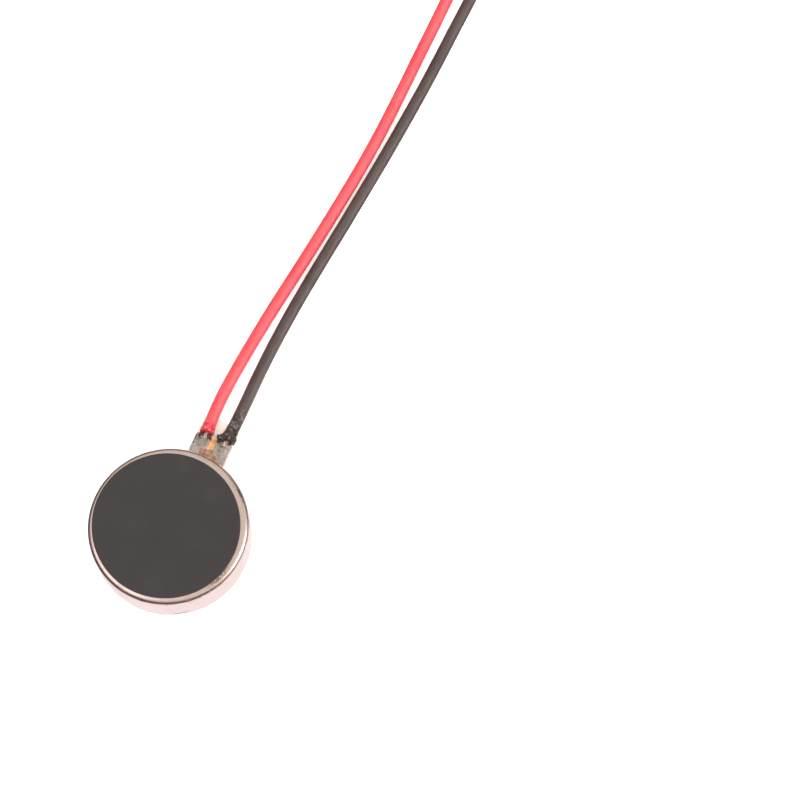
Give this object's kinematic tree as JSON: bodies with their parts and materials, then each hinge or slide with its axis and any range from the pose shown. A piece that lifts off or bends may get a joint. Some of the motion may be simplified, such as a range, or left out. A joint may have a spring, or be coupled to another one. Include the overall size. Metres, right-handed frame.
{
  "type": "vibration coin motor",
  "caption": "Flat round vibration motor: drawn steel case over a brushed off-centre rotor, soldering tab with two flying leads, peel-off adhesive back.",
  "frame": {"origin": "on the shaft's axis, on the underside of the release liner", "axes": "+Z along the shaft, from the adhesive back to the dark face; +Y from the shaft to the soldering tab and the leads"},
  "size_m": [0.01, 0.0602, 0.0034],
  "materials": {
    "case_steel": "nickel-plated deep-drawn steel, satin",
    "base_steel": "stamped plated steel",
    "shaft_steel": "ground hardened steel",
    "weld": "heat-tinted weld bead",
    "magnet": "nickel-plated sintered magnet",
    "polyimide": "amber polyimide film",
    "tin": "dull tinned copper",
    "solder": "wetted solder with flux stains",
    "brush": "precious-metal spring strip",
    "washer": "natural nylon",
    "sealant": "brown cured sealant with flux",
    "red_jacket": "satin PVC insulation",
    "black_jacket": "satin PVC insulation",
    "adhesive": "double-sided tape",
    "liner": "siliconed white paper",
    "face_pad": "dark grey self-adhesive film, matt",
    "board": "glass-epoxy board with green mask",
    "copper": "bare copper",
    "coil": "enamelled copper winding",
    "tungsten": "sintered tungsten alloy",
    "resin": "moulded black resin",
    "bronze": "oil-filled sintered bronze"
  },
  "bodies": {
    "housing": {"case_cup": "case_steel", "base_plate": "base_steel", "flex_circuit": "polyimide", "rim_weld_1": "weld", "rim_weld_2": "weld", "rim_weld_3": "weld", "rim_weld_4": "weld", "rim_weld_5": "weld", "rim_weld_6": "weld", "ring_magnet": "magnet", "shaft": "shaft_steel", "thrust_washer_lower": "washer", "thrust_washer_upper": "washer", "brush_positive": "brush", "brush_negative": "brush", "pad_red": "tin", "pad_black": "tin", "slot_sealant": "sealant", "red_lead": "red_jacket", "red_strands": "tin", "red_solder_joint": "solder", "red_lead_tip": "tin", "black_lead": "black_jacket", "black_strands": "tin", "black_solder_joint": "solder", "black_lead_tip": "tin", "adhesive_disc": "adhesive", "release_liner": "liner", "face_pad": "face_pad"},
    "rotor": {"rotor_board": "board", "commutator_bar_1": "copper", "commutator_bar_2": "copper", "commutator_bar_3": "copper", "commutator_bar_4": "copper", "commutator_bar_5": "copper", "commutator_bar_6": "copper", "coil_1": "coil", "coil_2": "coil", "counterweight": "tungsten", "rotor_resin": "resin", "rotor_bearing": "bronze"}
  },
  "joints": [
    {"name": "rotor_spin", "type": "hinge", "parent": "housing", "child": "rotor", "pos_m": [0, 0, 0.002], "axis": [0, 0, 1], "continuous": true}
  ]
}
